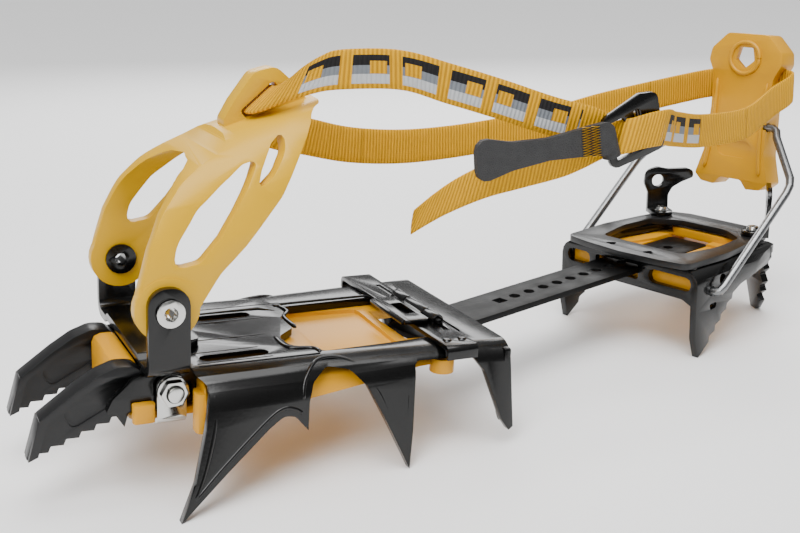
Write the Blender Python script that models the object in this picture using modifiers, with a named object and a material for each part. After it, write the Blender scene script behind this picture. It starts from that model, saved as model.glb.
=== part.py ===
"""Strap-on ice crampon for a left boot: front frame, linking bar, heel frame, toe cage, bail and strap.

Lengths are in millimetres and turned into metres by MM. Three assembly frames carry the parts:
the front section (toe at -Y, pitched up a little), the linking bar and the heel section (both yawed).
"""

import math

import bmesh
import bpy
from mathutils import Matrix, Vector

MM = 0.001
FIT = 0.3  # clearance between pieces that touch

# Assembly
GROUND = -36.9  # ground under the spikes, below the top of the front frame
CENTRE = (-12.72, 17.13)  # centre of the footprint
FRONT_PITCH = 3.75  # toe of the front section rises by this angle
HEEL_YAW = 14.93  # linking bar and heel turn by this angle
BAR_X = 1.74
HEEL_AT = (5.64, 104.35, -2.16)  # heel section origin, beside the bar's centre line

# Front section
FRONT_T = 3.0  # sheet of the front frame
FRONT_HALF = 45.0
FRONT_Y = (-110.8, 3.0)
FLARE = 11.0  # the side flanges lean out by this angle
TIP_A = (-119.4, -44.8)
TIP_B = (-38.9, -39.4)
BOLT_Y, BOLT_Z, BOLT_R = -116.6, -7.6, 2.6
BORE_R = 3.0
POINT_X = 19.8
POINT_WEB, POINT_FLANGE = 4.0, 8.4
POST_Y = (-125.8, -112.4)
POST_OUT, POST_T, POST_TOP = 37.7, 2.8, 28.8
HINGE_Y, HINGE_Z = -118.9, 20.9
CLIP_Y, CLIP_Z = -15.3, 2.85  # pin of the bar clip

# Toe cage
CAGE_HALF, CAGE_T, CAGE_POWER = 34.5, 4.5, 3.0
CAGE_RISE = 0.33  # the ridge climbs to the rear
CAGE_TOP = 73.5  # height of the ridge at CAGE_TOP_Y
CAGE_TOP_Y = -91.0
LUG_R, LUG_T = 10.5, 4.6
SLOT_AT = (-78.6, 82.2)
SLOT_RISE = 41.3

# Linking bar
BAR_W, BAR_T, BAR_TOP = 21.2, 2.5, -3.6
BAR_Y = (-23.0, 159.5)
HOLE_FIRST, HOLE_PITCH, HOLES, HOLE_R = 29.5, 8.7, 15, 2.3

# Heel section
HEEL_HALF, HEEL_T, HEEL_TOP = 37.5, 3.0, 3.9
RING_Z, RING_T = 4.2, 2.7
BAIL_Y, BAIL_Z, WIRE_R = 10.8, -6.4, 1.9
LEVER_Y, LEVER_Z = 81.0, 52.5
LEVER_TILT = 5.3
GUIDE_X, GUIDE_Y, GUIDE_T = 30.5, 62.0, 2.0
LEG_LEAN = 11.4  # the rear legs lean back at the foot

# Strap
STRAP_W, STRAP_T = 13.5, 1.6
BUCKLE_AT = (42.4, 54.0, 71.0)
BUCKLE_TILT = 18.0
TAB_AT = (42.4, 43.54, 67.6)  # middle of the buckle's front bar

PARTS = bpy.data.collections.new("crampon")
CUTTERS = bpy.data.collections.new("cutters")


def clear_scene():
    for obj in list(bpy.data.objects):
        bpy.data.objects.remove(obj)
    for group in (PARTS, CUTTERS):
        bpy.context.scene.collection.children.link(group)
    CUTTERS.hide_render = True


def material(name, colour, roughness, metallic):
    made = bpy.data.materials.new(name)
    made.use_nodes = True
    shader = made.node_tree.nodes["Principled BSDF"]
    shader.inputs["Base Color"].default_value = (*colour, 1)
    shader.inputs["Roughness"].default_value = roughness
    shader.inputs["Metallic"].default_value = metallic
    return made


def frame(name, at, turn, parent=None):
    """An empty that carries the pieces of one section or one moving group."""
    empty = bpy.data.objects.new(name, None)
    PARTS.objects.link(empty)
    empty.parent = parent
    empty.matrix_local = Matrix.Translation(Vector(at) * MM) @ turn
    bpy.context.view_layer.update()
    return empty


def turn_about(axis, degrees):
    return Matrix.Rotation(math.radians(degrees), 4, axis)


def at(x=0, y=0, z=0):
    return Matrix.Translation((x, y, z))


# Outlines drawn in the XY plane are turned to lie in YZ (side) or XZ (face).
SIDE = Matrix(((0, 0, 1, 0), (1, 0, 0, 0), (0, 1, 0, 0), (0, 0, 0, 1)))
FACE = Matrix(((1, 0, 0, 0), (0, 0, -1, 0), (0, 1, 0, 0), (0, 0, 0, 1)))
ACROSS = turn_about("Y", 90)  # a round piece along X


def rounded(points, radius, steps=3):
    """A closed outline with each corner turned into an arc; a point may carry its own radius."""
    made = []
    count = len(points)
    for i, point in enumerate(points):
        here = Vector(point[:2])
        reach = point[2] if len(point) > 2 else radius
        before = Vector(points[i - 1][:2]) - here
        after = Vector(points[(i + 1) % count][:2]) - here
        half = before.angle(after) / 2
        if reach <= 0 or half > 1.5:
            made.append(here)
            continue
        cut = min(reach / math.tan(half), 0.45 * before.length, 0.45 * after.length)
        bow = cut * math.tan(half)
        middle = here + (before.normalized() + after.normalized()).normalized() * bow / math.sin(half)
        start = here + before.normalized() * cut - middle
        end = here + after.normalized() * cut - middle
        sweep = start.angle_signed(end)
        for k in range(steps + 1):
            spun = start.copy()
            spun.rotate(Matrix.Rotation(-sweep * k / steps, 2))
            made.append(middle + spun)
    return made


def ring(x, y, radius, sides=16):
    turns = [math.tau * (k + 0.5) / sides for k in range(sides)]
    return [Vector((x + radius * math.cos(a), y + radius * math.sin(a))) for a in turns]


def oblong(x0, x1, y0, y1, radius=1.5, steps=2):
    return rounded([(x0, y0), (x1, y0), (x1, y1), (x0, y1)], radius, steps)


def slanted(y, z, degrees, length, width, radius=1.0):
    """A rounded slot centred on a point, its long axis raised by an angle."""
    spin = Matrix.Rotation(math.radians(degrees), 2)
    a, b = length / 2, width / 2
    box = [(-a, -b), (a, -b), (a, b), (-a, b)]
    return [spin @ p + Vector((y, z)) for p in rounded(box, radius, 2)]


def mirrored(points):
    return [(-p[0], *p[1:]) for p in reversed(points)]


def finish(name, mesh, place, parent, cutter=False):
    """Puts a mesh made in millimetres into a section, in metres."""
    mesh.transform(Matrix.Scale(MM, 4) @ place)
    if place.determinant() < 0:
        mesh.flip_normals()
    mesh.name = name
    obj = bpy.data.objects.new(name, mesh)
    (CUTTERS if cutter else PARTS).objects.link(obj)
    obj.parent = parent
    if cutter:
        obj.hide_render = True
        obj.display_type = "WIRE"
    return obj


def from_curve(curve):
    """The curve's mesh, its caps welded to its sides."""
    helper = bpy.data.objects.new("curve", curve)
    CUTTERS.objects.link(helper)
    bpy.context.view_layer.update()
    graph = bpy.context.evaluated_depsgraph_get()
    mesh = bpy.data.meshes.new_from_object(helper.evaluated_get(graph))
    bpy.data.objects.remove(helper)
    shell = bmesh.new()
    shell.from_mesh(mesh)
    bmesh.ops.remove_doubles(shell, verts=shell.verts, dist=0.001)
    bmesh.ops.recalc_face_normals(shell, faces=shell.faces)
    shell.to_mesh(mesh)
    shell.free()
    return mesh


def plate(name, outline, thickness, place, parent, holes=(), cutter=False):
    """A flat sheet from a closed outline, centred on its plane."""
    curve = bpy.data.curves.new(name, "CURVE")
    curve.dimensions = "2D"
    curve.fill_mode = "BOTH"
    curve.extrude = thickness / 2
    for loop in (outline, *holes):
        spline = curve.splines.new("POLY")
        spline.points.add(len(loop) - 1)
        for point, spot in zip(spline.points, loop):
            point.co = (spot[0], spot[1], 0, 1)
        spline.use_cyclic_u = True
    return finish(name, from_curve(curve), place, parent, cutter)


def block(name, outline, depth, place, section):
    """A plate that only shapes another piece: added to it, cut from it or kept common with it."""
    return plate(name, outline, depth, place, section, cutter=True)


def tube(name, path, radius, parent, cutter=False):
    """A round wire along a path of points."""
    curve = bpy.data.curves.new(name, "CURVE")
    curve.dimensions = "3D"
    curve.bevel_depth = radius
    curve.bevel_resolution = 2
    curve.use_fill_caps = True
    spline = curve.splines.new("POLY")
    spline.points.add(len(path) - 1)
    for point, spot in zip(spline.points, path):
        point.co = (*spot, 1)
    return finish(name, from_curve(curve), Matrix(), parent, cutter)


def rod(name, radius, length, place, parent, sides=16, cutter=False, top_radius=None):
    shell = bmesh.new()
    bmesh.ops.create_cone(
        shell,
        cap_ends=True,
        segments=sides,
        radius1=radius,
        radius2=radius if top_radius is None else top_radius,
        depth=length,
    )
    mesh = bpy.data.meshes.new(name)
    shell.to_mesh(mesh)
    shell.free()
    return finish(name, mesh, place, parent, cutter)


def sheet(name, rows, thickness, parent, offset=-1.0):
    """A sheet of even thickness whose outer skin runs through rows of points."""
    shell = bmesh.new()
    grid = [[shell.verts.new(point) for point in row] for row in rows]
    for a, b in zip(grid, grid[1:]):
        for i in range(len(a) - 1):
            shell.faces.new((a[i], a[i + 1], b[i + 1], b[i]))
    mesh = bpy.data.meshes.new(name)
    shell.to_mesh(mesh)
    shell.free()
    obj = finish(name, mesh, Matrix(), parent)
    thick = obj.modifiers.new("thickness", "SOLIDIFY")
    thick.thickness = thickness * MM
    thick.offset = offset
    thick.use_even_offset = True
    return obj


def combine(obj, other, operation):
    step = obj.modifiers.new(operation.lower(), "BOOLEAN")
    step.operation = operation
    step.solver = "EXACT"
    step.object = other
    return obj


def cut(obj, *others):
    for other in others:
        combine(obj, other, "DIFFERENCE")


def join(obj, *others):
    """Unites hidden pieces with a kept one."""
    for other in others:
        combine(obj, other, "UNION")


def dress(obj, finish_material, pivot=None):
    """Gives a piece its material and, on a moving group, hangs it from the group's empty."""
    obj.data.materials.clear()
    obj.data.materials.append(finish_material)
    for polygon in obj.data.polygons:
        polygon.use_smooth = True
    if pivot is not None:
        obj.data.transform(pivot.matrix_local.inverted())
        obj.parent = pivot


def smooth_path(points, steps=5, weight=0.5):
    """A Catmull-Rom line through the points."""
    spots = [Vector(p) for p in points]
    made = []
    for i in range(len(spots) - 1):
        a = spots[max(i - 1, 0)]
        b = spots[i]
        c = spots[i + 1]
        d = spots[min(i + 2, len(spots) - 1)]
        m0 = (c - a) * weight
        m1 = (d - b) * weight
        for k in range(steps):
            t = k / steps
            made.append(
                b * (2 * t**3 - 3 * t**2 + 1)
                + m0 * (t**3 - 2 * t**2 + t)
                + c * (-2 * t**3 + 3 * t**2)
                + m1 * (t**3 - t**2)
            )
    made.append(spots[-1])
    return made


# ---------------------------------------------------------------- front section


def channel_rows():
    """Outer skin of the front frame: flat top, rounded shoulders, flared flanges."""
    rows = []
    for y, radius in ((TIP_A[0] - 3, 14), (-65, 14), (-33, 10.5), (-6, 7.5), (FRONT_Y[1], 7.5)):
        half = []
        lean = math.radians(90 - FLARE)
        flat = FRONT_HALF - radius * math.sin(lean)
        for k in range(7):
            a = lean * k / 6
            half.append((flat + radius * math.sin(a), radius * (math.cos(a) - 1)))
        x, z = half[-1]
        half.append((x + (47 + z) * math.tan(math.radians(FLARE)), -47.0))
        line = [(-x, z) for x, z in reversed(half)] + half
        rows.append([(x, y, z) for x, z in line])
    return rows


def front_side_outline():
    tops = [(FRONT_Y[1] + 1, 6, 0), (FRONT_Y[0] - 12, 6, 0)]
    leg_a = [
        (FRONT_Y[0], 0.4, 0),
        (-110.6, -1.2),
        (-107.4, -3.6, 3),
        (-109.7, -16.9, 6),
        (-114.1, -33.4, 8),
        (*TIP_A, 0),
        (-104, -31.5, 9),
        (-88.7, -18.9, 5),
        (-83.3, -15.4, 4),
        (-79.6, -16.2, 2),
        (-75.3, -21.2, 0),
        (-74.4, -12.0, 4),
        (-72.4, -6.2, 4),
    ]
    leg_b = [
        (-66.5, -2.4, 4),
        (-58.5, -3.8, 5),
        (-53.0, -9.6, 5),
        (-46.6, -22.5, 8),
        (*TIP_B, 0),
        (-37.0, -27.0, 6),
        (-35.6, -12.3, 5),
        (-34.6, -3.4, 2),
    ]
    leg_c = [
        (-12.4, -3.4, 2),
        (-7.6, -9.5, 3),
        (-1.4, -27.6, 2),
        (1.2, -31.4, 0),
        (FRONT_Y[1] + 1, -29.6, 0),
    ]
    tops[1] = (FRONT_Y[0], 6, 0)
    return rounded([*tops, *leg_a, *leg_b, *leg_c], 1.5, 3)


def window_outline():
    return rounded(
        [
            (-21.2, -9.0, 3),
            (28.6, -8.0, 3),
            (30.6, -40.0, 2),
            (31.2, -64.0, 1.8),
            (26.0, -65.2, 2),
            (22.5, -73.0, 5),
            (12.5, -73.6, 5),
            (4.8, -65.4, 2),
            (-7.5, -65.4, 2),
            (-13.5, -61.8, 2),
            (-19.4, -61.4, 2),
        ],
        2,
        3,
    )


def build_front_frame(section, black):
    frame_obj = sheet("front_frame", channel_rows(), FRONT_T, section, -1)
    side = block("cut_side", front_side_outline(), 140, SIDE, section)
    combine(frame_obj, side, "INTERSECT")
    cheek = rounded(
        [
            (-104, -1.5, 0), (-118, -1.9, 4), (-128, -3.6, 6), (-135, -9.8, 4), (-137.4, -14.6, 1),
            (-134.2, -15.2, 1), (-131.4, -19.6, 0), (-130.0, -14.6, 1), (-121, -14.8, 3), (-104, -13.5, 0),
        ],
        2,
    )
    lip = rounded([(-45.3, -2), (-36, -2), (-41.6, -27.5), (-44.6, -31)], 1.0, 2)
    extras = [
        block(f"cheek_{i}", cheek, 3.0, at(x, 0, 0) @ SIDE, section)
        for i, x in enumerate((-26.0, 26.0))
    ]
    extras += [
        block(f"leg_back_{i}", shape, 2.4, at(0, FRONT_Y[1] - 1.5, 0) @ FACE, section)
        for i, shape in enumerate((lip, mirrored(lip)))
    ]
    join(frame_obj, *extras)
    cut(
        frame_obj,
        block("cut_window", window_outline(), 20, at(), section),
        block("cut_slot_near", oblong(22.6, 28.2, -106, -82, 2.4), 20, at(), section),
        block("cut_slot_far", oblong(-17.6, -12.2, -96, -75, 2.2), 20, at(), section),
        rod("cut_bolt", BORE_R, 100, at(0, BOLT_Y, BOLT_Z) @ ACROSS, section, 16, True),
        rod("cut_rivet_l", 1.9, 20, at(-9, -107.6, 0), section, 12, True),
        rod("cut_rivet_r", 1.9, 20, at(9, -107.6, 0), section, 12, True),
    )
    dress(frame_obj, black)


def point_outline():
    """Side outline of a front point: straight top, hooked tip, saw-toothed belly."""
    top = [
        (-157.2, -15.6, 1.2), (-146, -7.4, 14), (-138.8, -2.8, 8), (-132.5, -0.5, 6),
        (-127.0, -0.9, 4), (-122.6, -4.6, 3), (-111.6, -4.4, 2),
    ]
    back = [(-108.6, -7.5, 3), (-110.4, -13.4, 3), (-122.6, -13.9, 4), (-130.0, -16.8, 1)]
    belly = []
    start, end, teeth = (-130.2, -18.1), (-159.4, -29.2), 6
    for k in range(teeth):
        t0 = k / teeth
        t1 = (k + 1) / teeth
        y0 = start[0] + (end[0] - start[0]) * t0
        z0 = start[1] + (end[1] - start[1]) * t0
        y1 = start[0] + (end[0] - start[0]) * t1
        z1 = start[1] + (end[1] - start[1]) * t1
        belly.append((y0, z0, 0))
        belly.append((y1 + 0.8, z1 + 2.0, 0.4))
    tip = [(-161.3, -28.9, 0)]
    return rounded([*top, *back, *belly, *tip], 1, 2)


def build_point(name, x, section, steel):
    point = plate(name, point_outline(), POINT_WEB, at(x, 0, 0) @ SIDE, section)
    crest = [
        (-157.4, -16.4, 0.8), (-157.0, -15.4, 0.8), (-146, -7.2, 14), (-138.8, -2.6, 8), (-132.5, -0.3, 6),
        (-127.0, -0.7, 4), (-123.4, -4.0, 1), (-125.2, -5.6, 1), (-128.6, -3.9, 3), (-133, -3.8, 5),
        (-139.6, -6.2, 8), (-147, -10.6, 12), (-156, -17.6, 1),
    ]
    flange = plate(
        name + "_flange", rounded(crest, 1, 2), POINT_FLANGE, at(x, 0, 0) @ SIDE, section, cutter=True
    )
    face = [(-161.1, -28.9), (-157.4, -15.6), (-154.6, -15.8), (-158.0, -27.6)]
    chisel = block(name + "_chisel", face, POINT_FLANGE, at(x, 0, 0) @ SIDE, section)
    join(point, flange, chisel)
    panel = rounded([(-150, -14.6), (-134, -6.6), (-131.5, -12.5), (-147, -20.6)], 2, 2)
    cut(
        point,
        rod(name + "_bore", BORE_R, 30, at(x, BOLT_Y, BOLT_Z) @ ACROSS, section, 16, True),
        block(name + "_panel_l", panel, 2, at(x - 2.4, 0, 0) @ SIDE, section),
        block(name + "_panel_r", panel, 2, at(x + 2.4, 0, 0) @ SIDE, section),
    )
    dress(point, steel)


def build_point_hardware(section, steel, polished):
    axis = at(0, BOLT_Y, BOLT_Z)
    reach = POINT_X - POINT_WEB / 2 - FIT
    spacer = rod("point_spacer", 5.4, 2 * reach, axis @ ACROSS, section, 24)
    cut(spacer, rod("cut_spacer", BORE_R, 60, axis @ ACROSS, section, 16, True))
    dress(spacer, steel)
    out = 30.5 + FIT
    bolt = rod("point_bolt", BOLT_R, 2 * out + 5.4, axis @ at(2.6, 0, 0) @ ACROSS, section, 16)
    head = rod("bolt_head", 4.6, 3.4, axis @ at(-out - 1.7, 0, 0) @ ACROSS, section, 6, True)
    join(bolt, head)
    dress(bolt, polished)
    nut = rod("point_nut", 4.7, 3.8, axis @ at(out + 1.9 + FIT, 0, 0) @ ACROSS, section, 6)
    collar = rod("nut_collar", 5.2, 1.2, axis @ at(out + 0.6 + FIT, 0, 0) @ ACROSS, section, 20, True)
    join(nut, collar)
    cut(nut, rod("cut_nut", BORE_R, 20, axis @ at(out, 0, 0) @ ACROSS, section, 16, True))
    dress(nut, polished)


def build_bracket(section, polished):
    """Polished strap that ties the bolt under the front lip of the antiball plate."""
    half, low, t = 29.7, -18.9, 1.6
    outline = rounded(
        [(half + t / 2, 0, 0), (half - t / 2, 0, 0), (half - t / 2, low + t / 2, 1.6),
         (-half + t / 2, low + t / 2, 1.6), (-half + t / 2, 0, 0), (-half - t / 2, 0, 0),
         (-half - t / 2, low - t / 2, 3.2), (half + t / 2, low - t / 2, 3.2)],
        0, 4,
    )
    bracket = plate("clamp_bracket", outline, 10, at(0, BOLT_Y, 0) @ FACE, section)
    side = rounded(
        [(BOLT_Y - 4.9, BOLT_Z + 5.1, 4.6), (BOLT_Y + 4.9, BOLT_Z + 5.1, 4.6),
         (BOLT_Y + 4.9, -30, 0), (BOLT_Y - 4.9, -30, 0)],
        4.6, 5,
    )
    combine(bracket, block("bracket_side", side, 90, SIDE, section), "INTERSECT")
    cut(bracket, rod("cut_bracket", BORE_R, 90, at(0, BOLT_Y, BOLT_Z) @ ACROSS, section, 16, True))
    dress(bracket, polished)


def build_post_strip(section, black):
    """One strip bent up into the two posts that carry the toe cage."""
    inner, outer = POST_OUT - POST_T, POST_OUT
    top, low = POST_TOP, -1.3
    rise = 1.7
    right = [(outer, top, 0), (outer, low, 6), (25.6, low, 2), (22.8, low + rise, 2)]
    left_in = [(-22.0, low + rise + POST_T, 2), (-24.8, low + POST_T, 2), (-inner, low + POST_T, 3.2)]
    outline = rounded(
        [*right, *[(-x, z, r) for x, z, r in reversed(right)], (-inner, top, 0),
         (-inner, low + POST_T, 3.2), *left_in[1:2], left_in[0],
         (22.0, low + rise + POST_T, 2), (24.8, low + POST_T, 2),
         (inner, low + POST_T, 3.2), (inner, top, 0)],
        0, 4,
    )
    width = POST_Y[1] - POST_Y[0]
    middle = (POST_Y[0] + POST_Y[1]) / 2
    strip = plate("toe_post_strip", outline, width, at(0, middle, 0) @ FACE, section)
    side = rounded(
        [(POST_Y[0], top, 6.6), (POST_Y[1], top, 6.6), (POST_Y[1], -9, 0), (POST_Y[0], -9, 0)], 0, 6
    )
    combine(strip, block("post_side", side, 90, SIDE, section), "INTERSECT")
    tab_z = low + rise + POST_T / 2
    tab = block("post_tab", oblong(-15, 15, -118, -102.4, 3), POST_T, at(0, 0, tab_z), section)
    join(strip, tab)
    cut(
        strip,
        rod("cut_post", 3.4, 90, at(0, HINGE_Y, HINGE_Z) @ ACROSS, section, 16, True),
        rod("cut_tab_l", 1.9, 20, at(-9, -107.6, 0), section, 12, True),
        rod("cut_tab_r", 1.9, 20, at(9, -107.6, 0), section, 12, True),
    )
    dress(strip, black)
    for name, x in (("left_strip_rivet", -9), ("right_strip_rivet", 9)):
        rivet = rod(name, 1.5, 7.0, at(x, -107.6, tab_z - 1.35), section, 12)
        head = rod(
            name + "_head", 3.2, 1.4, at(x, -107.6, tab_z + POST_T / 2 + FIT + 0.7), section, 16, True, 2.0
        )
        join(rivet, head)
        dress(rivet, black)


def build_hinge_rivets(section, silver, black):
    """Tubular eyelets that hold the cage lugs in the posts."""
    inner = POST_OUT - POST_T - FIT - LUG_T - FIT
    length = POST_OUT + FIT - inner
    for name, side, finish_material in (
        ("right_hinge_eyelet", 1, silver),
        ("left_hinge_rivet", -1, black),
    ):
        place = at(side * (inner + length / 2), HINGE_Y, HINGE_Z) @ ACROSS
        eyelet = rod(name, 3.0, length + 0.6, place, section, 16)
        flange_out = rod(
            name + "_out", 4.6, 0.9, at(side * (POST_OUT + FIT + 0.5), HINGE_Y, HINGE_Z) @ ACROSS,
            section, 20, True,
        )
        flange_in = rod(
            name + "_in", 5.5, 1.4, at(side * (inner - FIT - 0.4), HINGE_Y, HINGE_Z) @ ACROSS,
            section, 20, True,
        )
        join(eyelet, flange_out, flange_in)
        cut(eyelet, rod(name + "_bore", 2.2, 30, place, section, 12, True))
        dress(eyelet, finish_material)


def build_front_antiball(section, yellow):
    """Flexible plate that fills the front frame and keeps snow out."""
    z_top = -3.4
    side = rounded(
        [(-4, z_top, 0), (-107, z_top, 0), (-107.8, -6, 2), (-107.8, -17.4, 2), (-100, -16.8, 4),
         (-70, -13, 6), (-30, -7.6, 4), (-4, -6.6, 1)],
        0, 2,
    )
    body = plate("front_antiball_plate", side, 79, SIDE, section)
    half = [(32.2, z_top), (36.6, -6.2), (39.4, -10.5), (39.4, -30)]
    profile = [*half, *[(-x, z) for x, z in reversed(half)]]
    combine(body, block("antiball_profile", profile, 260, at(0, -60, 0) @ FACE, section), "INTERSECT")
    tray = block("antiball_tray", oblong(-28.2, 28.2, -129.5, -104, 3), 2.4, at(0, 0, -16.4), section)
    pieces = [tray]
    core = rounded([(-133, -17.6, 2), (-133, -1.4, 3), (-124.4, -1.4, 2), (-124.4, -17.6, 0)], 1, 2)
    pieces.append(block("antiball_core", core, 29, SIDE, section))
    for i, s in enumerate((-1, 1)):
        post = oblong(s * 34.6 - 3.7, s * 34.6 + 3.7, -110.4, -101.5, 2)
        pieces.append(block(f"antiball_post_{i}", post, 13.6, at(0, 0, -14.4), section))
        lip = oblong(s * 29.9 - 1.9, s * 29.9 + 1.9, -129.4, -122.2, 1.2)
        pieces.append(block(f"antiball_lip_{i}", lip, 6.2, at(0, 0, -14.5), section))
    join(body, *pieces)
    boss = rod("antiball_boss", 4.4, 5.2, at(37.4, -21, -7.6), section, 16, True)
    join(body, boss)
    channel = oblong(BAR_X - BAR_W / 2 - 5, BAR_X + BAR_W / 2 + 8, -27, 6, 1)
    slots = [
        block(f"cut_tray_{i}", oblong(x - 2.7, x + 2.7, -140, -121.2, 1), 12, at(0, 0, -16), section)
        for i, x in enumerate((-POINT_X, POINT_X))
    ]
    slots += [
        block(f"cut_cheek_gap_{i}", oblong(x - 2, x + 2, -118, -103.4, 0.5), 12, at(0, 0, -9), section)
        for i, x in enumerate((-26, 26))
    ]
    dish = rounded([(-20, -60), (27, -63), (27, -32), (-18, -30)], 3, 2)
    cut(
        body,
        block("cut_channel", channel, 40, at(0, 0, -10), section),
        block("cut_dish", dish, 3, at(0, 0, z_top), section),
        *slots,
    )
    dress(body, yellow)


def build_bar_clip(section, clip_frame, black):
    """Spring strip gripping the rails, with a pinned flap that locks the linking bar."""
    t, z = 1.6, 1.1
    half, low = FRONT_HALF + FIT + t, -3.0
    outline = rounded(
        [(half, low, 0), (half, z + t / 2, 3.4), (-half, z + t / 2, 3.4), (-half, low, 0),
         (-half + t, low, 0), (-half + t, z - t / 2, 1.9), (half - t, z - t / 2, 1.9), (half - t, low, 0)],
        0, 4,
    )
    strip = plate("rail_clip", outline, 12, at(0, -18, 0) @ FACE, section)
    knuckles = []
    for i, (x0, x1) in enumerate(((-12, -2.1), (14.1, 22))):
        knuckles.append(
            rod(f"knuckle_{i}", 2.5, x1 - x0, at((x0 + x1) / 2, CLIP_Y, CLIP_Z) @ ACROSS, section, 16, True)
        )
    bumps = []
    for i, y in enumerate((-21, -15)):
        bumps.append(rod(f"bump_{i}", 2.2, 1.4, at(40.0, y, 1.9), section, 12, True, 1.2))
    join(strip, *knuckles, *bumps)
    cut(
        strip,
        block("cut_strip", oblong(-1.8, 13.8, -18.4, -10, 0.6), 20, at(), section),
        rod("cut_knuckle", 1.5, 60, at(0, CLIP_Y, CLIP_Z) @ ACROSS, section, 12, True),
    )
    dress(strip, black)
    hind = CLIP_Y - 3.1
    leaf = rounded(
        [(-7.6, -28.6, 2), (21.4, -28.6, 2), (21.4, hind, 1), (13.5, hind, 0), (13.5, CLIP_Y - 0.8, 0),
         (-1.5, CLIP_Y - 0.8, 0), (-1.5, hind, 0), (-7.6, hind, 1)],
        1, 2,
    )
    clip = plate("bar_clip", leaf, t, at(0, 0, 3.1), section)
    join(
        clip,
        rod("clip_knuckle", 2.45, 15, at(6, CLIP_Y, CLIP_Z) @ ACROSS, section, 16, True),
        tube("clip_lip", [(-6.6, -28.4, 3.1), (20.4, -28.4, 3.1)], 1.1, section, True),
    )
    cut(
        clip,
        rod("cut_clip", 1.5, 60, at(0, CLIP_Y, CLIP_Z) @ ACROSS, section, 12, True),
        block("cut_leaf", oblong(0.5, 13.5, -24.5, -19.8, 0.8), 20, at(), section),
    )
    dress(clip, black, clip_frame)
    pin = rod("clip_pin", 1.2, 35.4, at(5, CLIP_Y, CLIP_Z) @ ACROSS, section, 12)
    dress(pin, black)


# ---------------------------------------------------------------- toe cage


def ridge(y):
    return CAGE_TOP + CAGE_RISE * (y - CAGE_TOP_Y)


def cage_rows():
    rows = []
    for y in (-136, -118, -104, -90, -76, -54):
        half = []
        for k in range(11):
            a = math.pi / 2 * k / 10
            x = CAGE_HALF * math.cos(a) ** (2 / CAGE_POWER)
            z = HINGE_Z + (ridge(y) - HINGE_Z) * math.sin(a) ** (2 / CAGE_POWER)
            half.append((x, z))
        line = [(CAGE_HALF, 8.0), *half]
        line = line + [(-x, z) for x, z in reversed(line[:-1])]
        rows.append([(x, y, z) for x, z in reversed(line)])
    return rows


def cage_outline():
    front = [
        (-129.4, 20.9, 0), (-127.4, 28.8, 12), (-124.3, 39.5, 20), (-119.4, 50.4, 20), (-112.0, 59.2, 20),
        (-105.0, 63.9, 20), (-98.4, 67.4, 8), (-94.4, 70.6, 5), (-91.6, 76, 3), (-91.0, 100, 0),
    ]
    rear = [
        (-55, 100, 0), (-60.4, 82.4, 2), (-64.4, 80.4, 6), (-72.0, 69.0, 20), (-80.2, 55.0, 20),
        (-93.0, 39.8, 20), (-101.6, 31.4, 20), (-108.4, 20.9, 0),
    ]
    return rounded([*front, *rear], 2, 3)


def build_toe_cage(section, hinge, yellow):
    """Moulded hood over the toe: two windowed wings, a web on the ridge and a strap loop."""
    cage = sheet("toe_cage", cage_rows(), CAGE_T, section, -1)
    combine(cage, block("cage_side", cage_outline(), 160, SIDE, section), "INTERSECT")
    for i, s in enumerate((-1, 1)):
        x = s * (POST_OUT - POST_T - FIT - LUG_T / 2)
        join(cage, rod(f"lug_{i}", LUG_R, LUG_T, at(x, HINGE_Y, HINGE_Z) @ ACROSS, section, 28, True))
    fin = rounded(
        [(-90.6, 71, 0), (-91.4, 75.5, 3), (-88.0, 81.6, 4), (-80.8, 91.4, 5), (-73.0, 93.4, 4),
         (-65.4, 87.0, 4), (-60.0, 80.0, 2), (-61, 76, 0)],
        2, 3,
    )
    join(cage, block("fin", fin, 7.5, SIDE, section))
    window = rounded(
        [(-117.0, 33.6, 2.5), (-115.6, 41.2, 10), (-108.4, 51.6, 12), (-100.2, 58.4, 12), (-92.0, 64.6, 6),
         (-86.6, 66.2, 1.8), (-91.4, 57.8, 10), (-96.0, 50.6, 12), (-101.4, 42.6, 10), (-108.0, 35.2, 5)],
        4, 3,
    )
    slit = rounded(
        [(-88.6, 56.0, 1), (-86.2, 63.0, 8), (-81.6, 70.4, 4), (-76.0, 75.0, 1.2), (-77.6, 68.2, 8),
         (-82.0, 61.6, 8)],
        1, 2,
    )
    slot = slanted(*SLOT_AT, SLOT_RISE, STRAP_W + 2, 3.6)
    strap_way = rounded([(-20, -84, 2), (-4.4, -84, 2), (-4.4, -66.5, 2), (-20, -66.5, 4)], 2, 3)
    cut(
        cage,
        block("cut_window_side", window, 160, SIDE, section),
        block("cut_slit", slit, 160, SIDE, section),
        block("cut_strap_slot", slot, 18, SIDE, section),
        block("cut_strap_way", strap_way, 60, at(0, 0, 80), section),
        rod("cut_lug", 3.4, 90, at(0, HINGE_Y, HINGE_Z) @ ACROSS, section, 16, True),
    )
    dress(cage, yellow, hinge)


# ---------------------------------------------------------------- linking bar


def build_bar(section, steel):
    half = BAR_W / 2
    outline = rounded(
        [(-half, BAR_Y[0], 2), (half, BAR_Y[0], 2), (half, BAR_Y[1], 2.5), (-half, BAR_Y[1], 2.5)], 2, 3
    )
    holes = []
    for i in range(HOLES):
        y = HOLE_FIRST + i * HOLE_PITCH
        if i == 0:
            holes.append(oblong(-2.4, 2.4, y - 2.4, y + 2.4, 0.4, 1))
        elif i < HOLES - 1:
            holes.append(ring(0, y, HOLE_R, 12))
    place = at(0, 0, BAR_TOP - BAR_T / 2)
    dress(plate("linking_bar", outline, BAR_T, place, section, holes), steel)


# ---------------------------------------------------------------- heel section


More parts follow.
